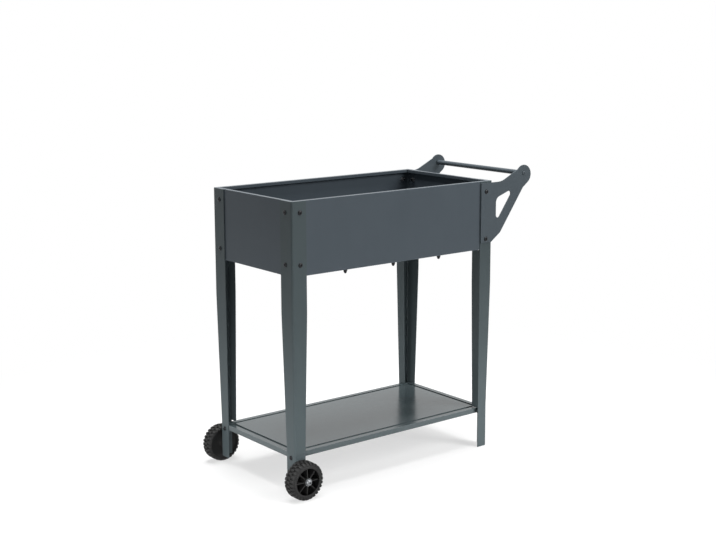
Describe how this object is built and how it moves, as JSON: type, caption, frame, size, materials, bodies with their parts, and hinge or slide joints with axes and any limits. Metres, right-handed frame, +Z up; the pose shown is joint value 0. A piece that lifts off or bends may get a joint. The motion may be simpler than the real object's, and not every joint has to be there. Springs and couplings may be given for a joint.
{
  "type": "rolling planter",
  "caption": "Raised planter trolley: a folded-sheet trough on tapered legs with a lower shelf, spoked wheels under one end and a push handle on cut-out brackets at the other.",
  "frame": {"origin": "middle of the bounding box's underside, on the ground", "axes": "X runs along the trough from the wheels to the handle, Y to the back, Z up"},
  "size_m": [0.86, 0.4478, 0.8005],
  "materials": {
    "panel_coat": "semi-matt slate grey powder coat",
    "leg_coat": "semi-matt slate grey powder coat, a little lighter",
    "black_steel": "satin black coat on bolts",
    "zinc_steel": "bright zinc plate",
    "wheel_plastic": "matt charcoal moulded plastic"
  },
  "bodies": {
    "frame_body": {"front_panel": "panel_coat", "back_panel": "panel_coat", "left_end_panel": "panel_coat", "right_end_panel": "panel_coat", "trough_floor": "panel_coat", "floor_bolts": "zinc_steel", "floor_cap_nuts": "black_steel", "front_left_leg": "leg_coat", "front_right_leg": "leg_coat", "back_left_leg": "leg_coat", "back_right_leg": "leg_coat", "panel_bolts": "black_steel", "panel_nuts": "zinc_steel", "bracket_bolts": "black_steel", "bracket_nuts": "zinc_steel", "shelf": "leg_coat", "shelf_bolts": "black_steel", "shelf_nuts": "zinc_steel", "front_handle_bracket": "panel_coat", "back_handle_bracket": "panel_coat", "handle_bar": "panel_coat", "handle_bar_screws": "black_steel", "axle_bolts": "zinc_steel", "axle_washers": "zinc_steel", "axle_spacers": "wheel_plastic", "axle_nuts": "zinc_steel"},
    "front_wheel_body": {"front_wheel": "wheel_plastic"},
    "back_wheel_body": {"back_wheel": "wheel_plastic"}
  },
  "joints": [
    {"name": "front_wheel_spin", "type": "hinge", "parent": "frame_body", "child": "front_wheel_body", "pos_m": [-0.38, -0.1972, 0.05], "axis": [0, 1, 0], "continuous": true},
    {"name": "back_wheel_spin", "type": "hinge", "parent": "frame_body", "child": "back_wheel_body", "pos_m": [-0.38, 0.1972, 0.05], "axis": [0, 1, 0], "continuous": true}
  ]
}
